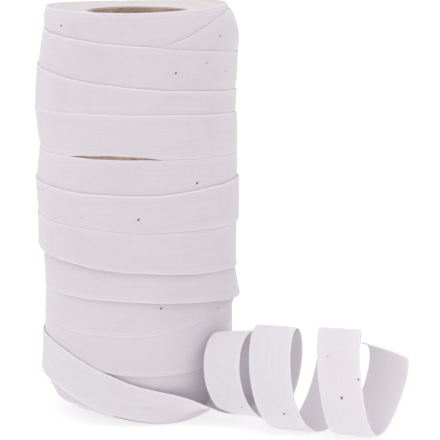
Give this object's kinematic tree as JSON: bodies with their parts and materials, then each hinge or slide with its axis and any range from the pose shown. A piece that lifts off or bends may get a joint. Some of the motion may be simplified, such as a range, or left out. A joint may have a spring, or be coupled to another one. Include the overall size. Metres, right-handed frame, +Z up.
{
  "type": "roll of cotton ribbon",
  "caption": "Tall roll of pale cotton ribbon wound in overlapping turns on a cardboard tube, its loose end curling away from the foot.",
  "frame": {"origin": "on the surface that the roll stands on, below the middle of the whole object's box", "axes": "+Z up along the roll's axis, -Y to the front, +X to the side on which the loose end curls away"},
  "size_m": [0.1779, 0.1228, 0.199],
  "materials": {
    "ribbon": "matt, finely woven cotton, pale with a cool tint and a few dark flecks",
    "core": "matt grey-brown cardboard, spirally wound"
  },
  "bodies": {
    "root": {"core": "core", "winding": "ribbon", "loose_end": "ribbon"}
  },
  "joints": []
}
